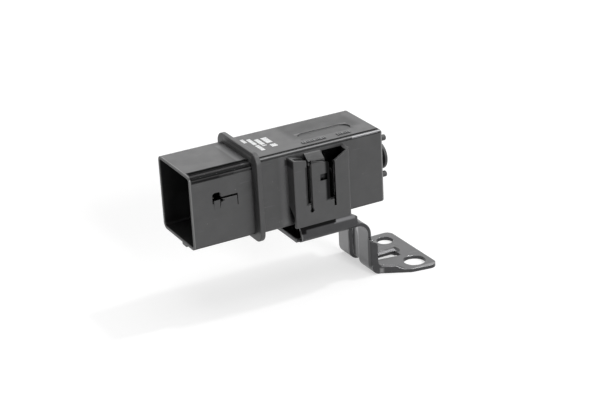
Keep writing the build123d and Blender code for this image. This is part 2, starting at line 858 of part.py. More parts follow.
def bead_section(width, height, flank):
    """A trapezium on its long side: the flat crest of the bead between its two flanks."""
    crest = width / 2 - flank
    with BuildSketch() as section:
        with BuildLine():
            Polyline((-width / 2, 0), (-crest, height), (crest, height), (width / 2, 0), (-width / 2, 0))
        make_face()
    return section.sketch


def bead_run(width, height, flank, sink, end_x):
    """A bead along the arm, round the lower bend and along the foot, sink below the sheet's top."""
    x = arm_back_x - sink
    z = sheet - sink
    radius = bottom_bend - sheet + sink
    with BuildLine() as path:
        l1 = Line((x, bead_side, bead_top), (x, bead_side, z + radius))
        corner = radius * (1 - 0.5 ** 0.5)
        a1 = ThreePointArc(l1 @ 1, (x + corner, bead_side, z + corner), (x + radius, bead_side, z))
        Line(a1 @ 1, (end_x, bead_side, z))
    start = Plane(origin=(x, bead_side, bead_top), x_dir=(0, 1, 0), z_dir=(0, 0, -1))
    section = bead_section(width, height, flank)
    run = sweep(start * section, path=path.line)
    half = section & Pos(width / 4, height / 2) * Rectangle(width / 2, height)
    cap_top = revolve(start * half, axis=Axis((x, bead_side, bead_top), (1, 0, 0)))
    low_end = Plane(origin=(end_x, bead_side, z), x_dir=(0, 1, 0), z_dir=(1, 0, 0))
    cap_low = revolve(low_end * half, axis=Axis((end_x, bead_side, z), (0, 0, 1)))
    return run, cap_top, cap_low


def foot_slot():
    """The opening beside the bead, which is wider towards the end of the foot."""
    start = foot_slot_end - foot_slot_length
    far = bead_side - bead_width / 2 + foot_slot_bite
    with BuildSketch(Plane.XY.offset(-1)) as outline:
        with BuildLine():
            Polyline((start, far), (foot_slot_end, far), (foot_slot_end, far - foot_slot_width),
                     (start, far - foot_slot_narrow), (start, far))
        make_face()
        fillet(outline.vertices(), foot_slot_round)
    return extrude(outline.sketch, amount=sheet + bead_height + 2)


def bracket():
    """The bracket, folded from one sheet of steel."""
    strip = folded_strip(lobe_y - foot_lobe_margin, hole_y + foot_far_margin + 1) & arm_region()
    plate_edge = block(receiver_x - 1, wall_end_x, wall_outer_y - 1, wall_outer_y + plate_bend,
                       plate_under_z - 1, plate_top_z + 1)
    solid = strip - plate_edge
    solid += side_wall()
    solid += near_lip()
    solid += lip_run()
    for piece in bead_run(bead_width, bead_height, bead_flank, 0, bead_end):
        solid += piece
    for piece in bead_run(groove_width, groove_depth, groove_flank, sheet, groove_end):
        solid -= piece
    solid -= foot_slot()
    solid -= Pos(0, hole_y, 0) * Cylinder(small_hole / 2, 6 * sheet)
    solid -= Pos(0, -hole_y, 0) * Cylinder(large_hole / 2, 6 * sheet)
    return solid


# Writing the parts


def parts():
    """Every node's name and solid."""
    nodes = {
        "housing": housing(),
        "rear_cover": rear_cover(),
        "rear_seal": rear_seal(),
        "vent_membrane": vent_membrane(),
        "terminal_carrier": terminal_carrier(),
        "power_blade": power_blade(),
        "circuit_board": circuit_board(),
        "heat_spreader": heat_spreader(),
        "busbar": busbar(),
        "microcontroller": microcontroller(),
        "voltage_regulator": voltage_regulator(),
        "capacitor": capacitor(),
        "surge_diode": surge_diode(),
        "bracket": bracket(),
    }
    for i, y in enumerate(output_places(), 1):
        nodes[f"output_blade_{i}"] = output_blade(y)
        nodes[f"current_shunt_{i}"] = current_shunt(y)
    for i, y in enumerate(signal_places(), 1):
        nodes[f"signal_pin_{i}"] = signal_pin(y)
    for i, (x, y) in enumerate(switch_places(), 1):
        nodes[f"power_switch_{i}"] = power_switch(x, y)
    return nodes


os.makedirs("parts", exist_ok=True)
for name, solid in parts().items():
    export_step(solid, f"parts/{name}.step")
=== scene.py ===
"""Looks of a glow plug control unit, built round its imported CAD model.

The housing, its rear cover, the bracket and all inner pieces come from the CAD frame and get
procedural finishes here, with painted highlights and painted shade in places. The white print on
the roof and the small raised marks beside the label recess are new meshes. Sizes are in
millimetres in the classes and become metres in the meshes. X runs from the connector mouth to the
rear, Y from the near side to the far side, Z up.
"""

import logging
from dataclasses import dataclass, field
from enum import Enum
from typing import Sequence

import bpy
import numpy as np
from mathutils import Matrix, Vector


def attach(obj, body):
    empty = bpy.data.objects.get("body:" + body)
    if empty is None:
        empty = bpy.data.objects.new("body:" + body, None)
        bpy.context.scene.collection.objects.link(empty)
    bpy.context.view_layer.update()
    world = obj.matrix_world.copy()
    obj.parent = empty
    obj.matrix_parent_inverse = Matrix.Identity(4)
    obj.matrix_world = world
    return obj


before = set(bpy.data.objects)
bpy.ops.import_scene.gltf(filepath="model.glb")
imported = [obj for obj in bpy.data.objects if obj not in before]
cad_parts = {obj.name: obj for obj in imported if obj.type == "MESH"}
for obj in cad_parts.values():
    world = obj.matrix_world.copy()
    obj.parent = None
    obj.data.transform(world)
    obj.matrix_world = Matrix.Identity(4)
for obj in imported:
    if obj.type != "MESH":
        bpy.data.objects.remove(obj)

log = logging.getLogger("control_unit")

MM = 0.001
BODY = "root"

Colour = tuple[float, float, float]
Place = tuple[float, float, float]
Range = tuple[float, float]


class Slot(Enum):
    """The material slots of the part's record."""

    BLACK_PLASTIC = "black_plastic"
    CARRIER_PLASTIC = "carrier_plastic"
    SEAL_RUBBER = "seal_rubber"
    MEMBRANE = "membrane"
    TINNED_COPPER = "tinned_copper"
    BOARD = "board"
    ALUMINIUM = "aluminium"
    CHIP = "chip"
    CAN = "can"
    COATED_STEEL = "coated_steel"


# Node trees


class NodeTree:
    """A shader node tree with short calls for adding and joining nodes."""

    def __init__(self, tree: bpy.types.NodeTree) -> None:
        """Keeps the tree that the calls work on."""
        self.tree = tree

    def join(self, value: object, socket: bpy.types.NodeSocket) -> None:
        """Feeds a socket with another node's output, or sets it to a plain value.

        Args:
            value: An output socket, or a number, colour or vector.
            socket: The input that gets it.
        """
        if isinstance(value, bpy.types.NodeSocket):
            self.tree.links.new(value, socket)
        else:
            socket.default_value = value

    def add(self, kind: str, inputs: dict[str, object] | None = None,
            **settings: object) -> bpy.types.Node:
        """Adds a node.

        Args:
            kind: The node's type name without its ShaderNode prefix.
            inputs: Values or output sockets by input name.
            settings: Properties of the node itself.

        Returns:
            The new node.
        """
        node = self.tree.nodes.new("ShaderNode" + kind)
        for name, value in settings.items():
            setattr(node, name, value)
        for name, value in (inputs or {}).items():
            self.join(value, node.inputs[name])
        return node

    def math(self, operation: str, first: object, second: object = 0.0) -> bpy.types.NodeSocket:
        """Adds a Math node and returns its value."""
        node = self.add("Math", operation=operation)
        self.join(first, node.inputs[0])
        self.join(second, node.inputs[1])
        return node.outputs[0]

    def vector_math(self, operation: str, first: object,
                    second: object = (0.0, 0.0, 0.0)) -> bpy.types.Node:
        """Adds a Vector Math node, whose first output is its vector."""
        node = self.add("VectorMath", operation=operation)
        self.join(first, node.inputs[0])
        self.join(second, node.inputs[1])
        return node

    def ramp(self, value: object, low: float, high: float, out_low: object = 0.0,
             out_high: object = 1.0) -> bpy.types.NodeSocket:
        """Maps a value smoothly from one range to another.

        Args:
            value: What is mapped.
            low: Where the result starts to leave out_low.
            high: Where the result reaches out_high.
            out_low: The result at and below low.
            out_high: The result at and above high.

        Returns:
            The mapped value.
        """
        node = self.add("MapRange", {"Value": value, "From Min": low, "From Max": high,
                                     "To Min": out_low, "To Max": out_high},
                        interpolation_type="SMOOTHSTEP")
        return node.outputs["Result"]

    def noise(self, vector: object, scale: object, detail: float = 2.0) -> bpy.types.NodeSocket:
        """Adds a noise texture and returns its value, about 0.5 on average."""
        node = self.add("TexNoise", {"Vector": vector, "Scale": scale, "Detail": detail})
        return node.outputs["Fac"]

    def blend(self, factor: object, first: object, second: object) -> bpy.types.NodeSocket:
        """Mixes two colours by a factor."""
        node = self.add("Mix", data_type="RGBA")
        self.join(factor, node.inputs["Factor"])
        # The node has sockets for each kind of value: these are the ones for colours
        self.join(first, node.inputs[6])
        self.join(second, node.inputs[7])
        return node.outputs[2]

    def group(self, effect: bpy.types.NodeTree, inputs: dict[str, object]) -> bpy.types.Node:
        """Places an effect group and feeds its inputs."""
        node = self.add("Group")
        node.node_tree = effect
        for name, value in inputs.items():
            self.join(value, node.inputs[name])
        return node


def new_material(name: str) -> tuple[bpy.types.Material, NodeTree, bpy.types.Node]:
    """Makes a material and returns it with its nodes and its shader."""
    made = bpy.data.materials.new(name)
    made.use_nodes = True
    return made, NodeTree(made.node_tree), made.node_tree.nodes["Principled BSDF"]


@dataclass
class Effects:
    """The effects that several finishes share, each built once as a node group.

    A range says where a value starts to count and where it counts in full, a scale is in waves per
    metre, and the turn is in radians.
    """

    fine_detail: float = 3.0
    cloud_detail: float = 4.0
    plain_detail: float = 1.0
    fine_in_height: float = 0.8
    fine_in_tone: float = 0.35
    tone_range: Range = (0.3, 0.7)
    edge_range: Range = (0.1, 1.0)
    broken_range: Range = (0.25, 0.65)
    scratch_turn: Place = (0.3, 0.2, 0.35)
    scratch_stretch: Place = (0.12, 2.6, 2.6)
    scratch_range: Range = (0.66, 0.72)
    scratched_scale: float = 160.0
    scratched_range: Range = (0.5, 0.62)
    speck_scale: float = 420.0
    speck_range: Range = (0.1, 0.05)
    dusty_scale: float = 300.0
    dusty_range: Range = (0.56, 0.6)
    closed_range: Range = (0.85, 0.3)
    edge_samples: int = 6
    cavity_samples: int = 12
    near_side: Place = (0.0, -1.0, 0.0)
    grain: bpy.types.NodeTree = field(init=False)
    edge: bpy.types.NodeTree = field(init=False)
    scuffs: bpy.types.NodeTree = field(init=False)
    spot: bpy.types.NodeTree = field(init=False)
    cavity: bpy.types.NodeTree = field(init=False)
    lean: bpy.types.NodeTree = field(init=False)

    def __post_init__(self) -> None:
        """Builds the groups."""
        self.grain = self._grain()
        self.edge = self._edge()
        self.scuffs = self._scuffs()
        self.spot = self._spot()
        self.cavity = self._cavity()
        self.lean = self._lean()

    @staticmethod
    def _start(name: str, inputs: Sequence[tuple[str, str]], outputs: Sequence[tuple[str, str]],
               ) -> tuple[bpy.types.NodeTree, NodeTree, bpy.types.Node, bpy.types.Node]:
        """Makes an empty group with its sockets.

        Args:
            name: The group's name.
            inputs: Name and kind of each input.
            outputs: Name and kind of each output.

        Returns:
            The group, its short calls, its input node and its output node.
        """
        group = bpy.data.node_groups.new(name, "ShaderNodeTree")
        for in_out, sockets in (("INPUT", inputs), ("OUTPUT", outputs)):
            for label, kind in sockets:
                group.interface.new_socket(label, in_out=in_out, socket_type="NodeSocket" + kind)
        given = group.nodes.new("NodeGroupInput")
        return group, NodeTree(group), given, group.nodes.new("NodeGroupOutput")

    def _grain(self) -> bpy.types.NodeTree:
        """Fine grain over slow clouds: the height is mostly grain, the tone mostly clouds."""
        group, tree, given, result = self._start(
            "surface_grain",
            (("Vector", "Vector"), ("Grain Scale", "Float"), ("Cloud Scale", "Float")),
            (("Height", "Float"), ("Tone", "Float")))
        place = given.outputs["Vector"]
        fine = tree.noise(place, given.outputs["Grain Scale"], self.fine_detail)
        cloud = tree.noise(place, given.outputs["Cloud Scale"], self.cloud_detail)

        def mixed(fine_part: float) -> bpy.types.NodeSocket:
            """Returns the fine grain by its part, with the clouds as the rest."""
            return tree.math("ADD", tree.math("MULTIPLY", fine, fine_part),
                             tree.math("MULTIPLY", cloud, 1 - fine_part))

        tree.join(mixed(self.fine_in_height), result.inputs["Height"])
        tree.join(tree.ramp(mixed(self.fine_in_tone), *self.tone_range), result.inputs["Tone"])
        return group

    def _edge(self) -> bpy.types.NodeTree:
        """A small rounding of every edge, and a broken mask of the edges that it turns.

        The mask, for rubbed edges that also carry a painted highlight, reaches 1 where the
        rounding turns the normal by Full, as 1 less the cosine.
        """
        group, tree, given, result = self._start(
            "edge_finish",
            (("Vector", "Vector"), ("Radius", "Float"), ("Full", "Float"),
             ("Break Scale", "Float")),
            (("Normal", "Vector"), ("Wear And Highlight", "Float")))
        rounded = tree.add("Bevel", {"Radius": given.outputs["Radius"]}, samples=self.edge_samples)
        flat = tree.add("NewGeometry")
        cosine = tree.vector_math("DOT_PRODUCT", rounded.outputs["Normal"], flat.outputs["Normal"])
        turned = tree.math("SUBTRACT", 1.0, cosine.outputs["Value"])
        edge = tree.ramp(tree.math("DIVIDE", turned, given.outputs["Full"]), *self.edge_range)
        breaks = tree.noise(given.outputs["Vector"], given.outputs["Break Scale"])
        tree.join(tree.math("MULTIPLY", edge, tree.ramp(breaks, *self.broken_range)),
                  result.inputs["Wear And Highlight"])
        tree.join(rounded.outputs["Normal"], result.inputs["Normal"])
        return group

    def _scuffs(self) -> bpy.types.NodeTree:
        """Short thin scratches along X, and a few specks of dust."""
        group, tree, given, result = self._start(
            "scuffs_and_dust", (("Vector", "Vector"), ("Scale", "Float")),
            (("Scratches", "Float"), ("Dust", "Float")))
        place = given.outputs["Vector"]
        stretched = tree.add("Mapping", {"Vector": place, "Rotation": self.scratch_turn,
                                         "Scale": self.scratch_stretch})
        lines = tree.noise(stretched.outputs["Vector"], given.outputs["Scale"], self.plain_detail)
        scratched = tree.ramp(
            tree.noise(place, self.scratched_scale, self.plain_detail), *self.scratched_range)
        tree.join(tree.math("MULTIPLY", tree.ramp(lines, *self.scratch_range), scratched),
                  result.inputs["Scratches"])
        cells = tree.add("TexVoronoi", {"Vector": place, "Scale": self.speck_scale})
        specks = tree.ramp(cells.outputs["Distance"], *self.speck_range)
        dusty = tree.ramp(
            tree.noise(place, self.dusty_scale, self.plain_detail), *self.dusty_range)
        tree.join(tree.math("MULTIPLY", specks, dusty), result.inputs["Dust"])
        return group

    def _spot(self) -> bpy.types.NodeTree:
        """A box with a soft border: 0 from its faces outwards, 1 where every face is Soft away."""
        group, tree, given, result = self._start(
            "soft_box",
            (("Vector", "Vector"), ("Centre", "Vector"), ("Reach", "Vector"), ("Soft", "Float")),
            (("Mask", "Float"),))
        offset = tree.vector_math("SUBTRACT", given.outputs["Vector"], given.outputs["Centre"])
        away = tree.vector_math("ABSOLUTE", offset.outputs[0])
        room = tree.vector_math("SUBTRACT", given.outputs["Reach"], away.outputs[0])
        parts = tree.add("SeparateXYZ", {"Vector": room.outputs[0]})
        least = tree.math("MINIMUM", parts.outputs["Y"], parts.outputs["Z"])
        least = tree.math("MINIMUM", parts.outputs["X"], least)
        tree.join(tree.ramp(least, 0.0, given.outputs["Soft"]), result.inputs["Mask"])
        return group

    def _cavity(self) -> bpy.types.NodeTree:
        """Painted shade's mask for grooves, slits and inner corners: 1 where a point is closed in,
        0 where it is open.
        """
        group, tree, given, result = self._start(
            "closed_in", (("Reach", "Float"),), (("Mask", "Float"),))
        open_share = tree.add("AmbientOcclusion", {"Distance": given.outputs["Reach"]},
                              samples=self.cavity_samples)
        tree.join(tree.ramp(open_share.outputs["AO"], *self.closed_range), result.inputs["Mask"])
        return group

    def _lean(self) -> bpy.types.NodeTree:
        """A normal that leans to the near side where the mask is 1, as a small slope would."""
        group, tree, given, result = self._start(
            "near_lean", (("Normal", "Vector"), ("Mask", "Float"), ("Lean", "Float")),
            (("Normal", "Vector"),))
        near = tree.add("VectorTransform", {"Vector": self.near_side}, vector_type="NORMAL",
                        convert_from="OBJECT", convert_to="WORLD")
        turn = tree.vector_math("SCALE", near.outputs["Vector"])
        tree.join(tree.math("MULTIPLY", given.outputs["Mask"], given.outputs["Lean"]),
                  turn.inputs["Scale"])
        summed = tree.vector_math("ADD", given.outputs["Normal"], turn.outputs[0])
        unit = tree.vector_math("NORMALIZE", summed.outputs[0])
        tree.join(unit.outputs[0], result.inputs["Normal"])
        return group


# Finishes


@dataclass(frozen=True)
class Patch:
    """A soft-edged box that paints light and shade: centre, half lengths and border in
    millimetres.

    It blends in a lighter colour by its share as painted light, or a darker one as painted shade;
    where shade is given, it sets how much painted shade the place has instead. Its lean turns the
    surface's normal to the near side, as a small slope there would. The border is no wider than
    the shortest half length, or the box never shows in full.
    """

    centre: Place
    reach: Place
    colour: Colour = (0.34, 0.34, 0.35)
    share: float = 0.8
    soft: float = 0.4
    shade: float | None = None
    lean: float = 0.0


@dataclass(frozen=True)
class Finish:
    """One material: two tones, a grain, rounded edges that are rubbed and carry a painted
    highlight, scuffs, painted shade in grooves and hollows, and patches of painted light and
    shade.

    Sizes, depths, radii and reaches are in millimetres, scales in waves per metre.
    """

    name: str
    slot: Slot
    colour: Colour
    second_colour: Colour
    metallic: float = 0.0
    smooth: float = 0.42
    dull: float = 0.5
    grain_size: float = 0.35
    grain_depth: float = 0.02
    grain_strength: float = 0.5
    cloud_size: float = 5.0
    edge_radius: float = 0.25
    edge_colour: Colour = (0.12, 0.12, 0.125)
    edge_share: float = 0.35
    edge_full: float = 0.22
    edge_polish: float = 0.1
    break_scale: float = 260.0
    scuff_scale: float = 900.0
    scuff_share: float = 0.25
    dust_colour: Colour = (0.32, 0.31, 0.29)
    dust_share: float = 0.3
    dust_dulling: float = 0.3
    # Painted shade in grooves and deep hollows: its reaches, shares and colour
    cavity_reach: float = 0.9
    cavity_share: float = 0.75
    hollow_reach: float = 26.0
    hollow_range: Range = (0.5, 0.9)
    hollow_share: float = 0.97
    shade_colour: Colour = (0.003, 0.003, 0.003)
    patches: tuple[Patch, ...] = ()

    def _shade(self, tree: NodeTree, effects: Effects) -> bpy.types.NodeSocket:
        """Returns the painted shade of a place in a groove or in a deep hollow.

        Args:
            tree: The material's nodes.
            effects: The shared node groups.

        Returns:
            The larger of both painted shades.
        """
        groove = tree.group(effects.cavity, {"Reach": self.cavity_reach * MM}).outputs["Mask"]
        hollow = tree.group(effects.cavity, {"Reach": self.hollow_reach * MM}).outputs["Mask"]
        return tree.math(
            "MAXIMUM", tree.math("MULTIPLY", groove, self.cavity_share),
            tree.math("MULTIPLY", tree.ramp(hollow, *self.hollow_range), self.hollow_share))

    def material(self, effects: Effects) -> bpy.types.Material:
        """Builds the material.

        Args:
            effects: The shared node groups.

        Returns:
            The material, with constant values on the shader's own sockets.
        """
        made, tree, shader = new_material(self.name)
        place = tree.add("TexCoord").outputs["Object"]
        grain = tree.group(effects.grain, {
            "Vector": place, "Grain Scale": 1 / (self.grain_size * MM),
            "Cloud Scale": 1 / (self.cloud_size * MM)})
        edge = tree.group(effects.edge, {
            "Vector": place, "Radius": self.edge_radius * MM, "Full": self.edge_full,
            "Break Scale": self.break_scale})
        scuffs = tree.group(effects.scuffs, {"Vector": place, "Scale": self.scuff_scale})
        colour = tree.blend(grain.outputs["Tone"], (*self.colour, 1.0), (*self.second_colour, 1.0))
        shaded = self._shade(tree, effects)
        normal = edge.outputs["Normal"]
        for patch in self.patches:
            mask = tree.group(effects.spot, {
                "Vector": place, "Centre": [v * MM for v in patch.centre],
                "Reach": [v * MM for v in patch.reach], "Soft": patch.soft * MM}).outputs["Mask"]
            if patch.shade is None:
                share = tree.math("MULTIPLY", mask, patch.share)
                colour = tree.blend(share, colour, (*patch.colour, 1.0))
            else:
                shaded = tree.ramp(mask, 0.0, 1.0, shaded, patch.shade)
            if patch.lean:
                normal = tree.group(effects.lean, {
                    "Normal": normal, "Mask": mask, "Lean": patch.lean}).outputs["Normal"]
        # The edge mask paints rubbing and a highlight on the rounded edges
        edge_wear_and_highlight = tree.math("MULTIPLY", edge.outputs["Wear And Highlight"], self.edge_share)
        scratches = tree.math("MULTIPLY", scuffs.outputs["Scratches"], self.scuff_share)
        dust = tree.math("MULTIPLY", scuffs.outputs["Dust"], self.dust_share)
        rubbed_and_highlit = tree.math("MAXIMUM", edge_wear_and_highlight, scratches)
        # Rubbed edges, also a painted highlight, and scratches take the edge colour; painted shade
        # takes the shade colour; specks take the dust colour
        for share, tint in ((rubbed_and_highlit, self.edge_colour), (shaded, self.shade_colour),
                            (dust, self.dust_colour)):
            colour = tree.blend(share, colour, (*tint, 1.0))
        tree.join(colour, shader.inputs["Base Color"])
        rough = tree.ramp(grain.outputs["Tone"], 0.0, 1.0, self.smooth, self.dull)
        rough = tree.math("SUBTRACT", rough, tree.math("MULTIPLY", edge_wear_and_highlight, self.edge_polish))
        rough = tree.math("ADD", rough, tree.math("MULTIPLY", dust, self.dust_dulling))
        tree.join(rough, shader.inputs["Roughness"])
        bump = tree.add("Bump", {
            "Height": grain.outputs["Height"], "Strength": self.grain_strength,
            "Distance": self.grain_depth * MM, "Normal": normal})
        tree.join(bump.outputs["Normal"], shader.inputs["Normal"])
        # Painted shade also turns the place metallic with its dark colour, which dims its sheen
        # there
        tree.join(tree.math("MAXIMUM", shaded, self.metallic), shader.inputs["Metallic"])
        return made


# The housing's patches of painted highlight and painted shade, laid over each other in this order

EDGE_LIGHTS = (  # painted highlights along the roof's near edge, the rear edge and the mouth's rim
    Patch((-38.0, -6.85, 58.4), (28.0, 0.45, 0.5), (0.4, 0.4, 0.41), 0.4, 0.3),
    Patch((-15.0, -7.05, 58.3), (9.0, 0.5, 0.7), (0.6, 0.6, 0.62), 0.7, 0.35),
    Patch((-11.1, -7.7, 43.5), (0.6, 1.0, 30.0), (0.3, 0.3, 0.3), 0.6),
    Patch((-92.9, 6.3, 43.5), (0.5, 60.0, 60.0), (0.2, 0.2, 0.2), 0.8, 0.2),
)
# Painted shade on the walls inside the mouth and on the inner half of its rim
MOUTH_INSIDE_SHADE = (
    Patch((-79.4, 6.3, 43.5), (14.2, 13.75, 14.75), soft=0.2, shade=0.65),
)
# Painted shade on the roof's middle, painted light on the strip before the collar and a painted
# highlight along the collar's top front edge
ROOF_PAINTED_LIGHT = (  # the darker middle, the paler strip before the collar, the streak on the collar
    Patch((-29.0, 11.0, 58.5), (17.0, 10.5, 6.0), soft=5.0, shade=0.45),
    Patch((-69.3, 4.3, 58.5), (2.5, 11.8, 1.3), (0.15, 0.15, 0.152), 0.9, 1.2),
    Patch((-67.5, 4.0, 60.4), (0.5, 12.0, 0.7), (0.16, 0.16, 0.16), 0.7, 0.35),
)
# Painted shade set lower in the label recess, on its far wall and round the raised marks, and
# painted light on that far wall
FAINT_OUTLINES = (  # the label recess with its far wall, and the raised marks
    Patch((-29.7, 4.6, 58.4), (11.6, 3.6, 0.8), soft=0.25, shade=0.35),
    Patch((-29.7, 7.6, 58.4), (11.6, 0.7, 0.8), (0.1, 0.1, 0.102), 0.8, 0.25),
    Patch((-29.7, 7.6, 58.4), (11.6, 0.7, 0.8), soft=0.25, shade=0.1),
    Patch((-32.2, -1.7, 58.5), (11.5, 1.6, 0.8), soft=0.3, shade=0.0),
)
# Painted shade lines along the shroud's near top edge; the line on the top also leans the normal
SHROUD_SHADE_LINES = (  # two on the top, one on the edge and one on the side that fades to the collar
    Patch((-79.9, -6.0, 58.5), (12.6, 2.0, 1.1), soft=0.5, shade=0.72),
    Patch((-79.9, -4.7, 58.5), (12.6, 1.8, 0.8), soft=0.65, shade=0.94, lean=1.1),
    Patch((-79.9, -7.7, 57.35), (12.6, 1.0, 0.75), soft=0.3, shade=0.95),
    Patch((-86.0, -7.7, 56.1), (6.5, 0.85, 0.85), soft=0.5, shade=0.82),
    Patch((-77.5, -7.7, 56.1), (3.5, 0.85, 0.85), soft=0.5, shade=0.6),
    Patch((-71.5, -7.7, 56.1), (3.6, 0.85, 0.85), soft=0.5, shade=0.35),
)
# Painted shade lines on the body's roof beside its near edge and on its side just below; the first
# also leans the normal
BODY_SHADE_LINES = (
    Patch((-38.1, -5.5, 58.5), (28.0, 1.1, 0.5), soft=0.35, shade=0.88, lean=0.18),
    Patch((-38.1, -7.7, 57.95), (28.0, 0.7, 0.65), soft=0.45, shade=0.65),
)
# Painted light on the body's side before the receiver, its left wall kept at its own colour with
# little painted shade, and painted shade on its left prong's top
RECEIVER_LEFT = (  # the body's side before it, its left wall and the top of its left prong
    Patch((-52.6, -8.0, 43.5), (4.4, 4.0, 15.5), (0.12, 0.12, 0.122), 0.8, 3.0),
    Patch((-52.8, -10.3, 43.0), (0.4, 2.4, 15.0), (0.056, 0.056, 0.057), 1.0, 0.15),
    Patch((-52.8, -10.3, 43.0), (0.4, 2.7, 15.0), soft=0.2, shade=0.1),
    Patch((-49.5, -9.5, 55.0), (4.8, 3.6, 1.9), soft=1.4, shade=0.7),
)
# Painted shade on the ramp, set lower in the pocket and the right slit, none in the left slit,
# which gets painted light, and painted shade beside each slit
RECEIVER_MIDDLE = (  # the ramp, the pocket, the slits and the soft shade beside each slit
    Patch((-42.0, -11.0, 56.2), (4.6, 3.0, 2.1), soft=0.4, shade=0.5),
    Patch((-33.6, -10.2, 52.6), (4.3, 2.5, 5.4), soft=0.5, shade=0.3),
    Patch((-45.8, -10.2, 44.5), (1.6, 2.6, 9.5), soft=0.1, shade=0.0),
    Patch((-45.8, -10.2, 44.5), (1.6, 2.6, 9.5), (0.14, 0.14, 0.14), 1.0, 0.1),
    Patch((-37.0, -10.2, 44.5), (1.4, 2.6, 9.5), soft=0.1, shade=0.3),
    Patch((-38.1, -12.9, 46.2), (1.9, 1.9, 8.9), soft=1.6, shade=0.95),
    Patch((-47.2, -12.9, 45.6), (1.1, 1.1, 8.2), soft=0.9, shade=0.65),
)

# The bracket's patches of painted highlight and painted shade

FOOT_LIGHTS = (  # painted highlights on the foot's near edge and in its fold
    Patch((3.0, -18.7, 1.9), (7.0, 1.6, 0.55), (0.5, 0.5, 0.5), 0.5, 0.4),
    Patch((-15.4, -12.0, 1.2), (1.2, 1.3, 1.6), (0.3, 0.3, 0.3), 0.7, 1.2),
)
# Painted light on the arm's far and near panels, a painted highlight on the crest, and painted
# shade in the groove on the foot and in the near fold
ARM_PAINTED_LIGHT = (  # the far panel, the near panel and its crest, the groove's shade, the near fold
    Patch((-19.75, 13.5, 12.0), (1.0, 7.5, 18.0), (0.42, 0.42, 0.425), 0.9, 2.0),
    Patch((-19.75, -3.0, 12.0), (2.6, 6.2, 15.0), (0.24, 0.24, 0.245), 0.75, 0.5),
    Patch((-19.75, -1.0, 12.0), (2.6, 1.0, 13.0), (0.5, 0.5, 0.5), 0.7, 0.6),
    Patch((-7.0, 0.6, 2.0), (8.0, 0.6, 1.4), (0.02, 0.02, 0.02), 0.6, 0.4),
    Patch((-19.75, -6.0, 0.0), (1.2, 9.0, 6.5), (0.02, 0.02, 0.02), 0.7, 4.0),
)
FLARE_LIGHTS = (  # painted highlights on the rear corner of the flare and on its front edge
    Patch((-31.0, -11.6, 27.6), (5.0, 0.9, 1.2), (0.3, 0.3, 0.31), 0.6, 1.0),
    Patch((-51.3, -11.6, 27.0), (0.4, 0.9, 4.5), (0.8, 0.8, 0.8), 0.9, 0.15),
)
RECEIVER_SHADE = (  # on the wall inside it, the flare below it and the plate under the housing
    Patch((-41.0, -10.8, 46.0), (22.0, 1.8, 16.5), soft=0.6, shade=0.5),
    Patch((-44.0, -11.6, 28.3), (9.5, 1.2, 1.5), soft=0.8, shade=0.95),
    Patch((-49.8, -11.6, 27.3), (2.4, 1.2, 2.2), soft=1.1, shade=0.95),
    Patch((-45.4, -2.5, 23.1), (5.3, 8.6, 0.8), soft=0.5, shade=0.9, lean=0.35),
)

VENT_SHADE = (
    Patch((-9.2, -5.6, 45.0), (1.2, 2.4, 4.4), soft=0.9, shade=0.95),
)


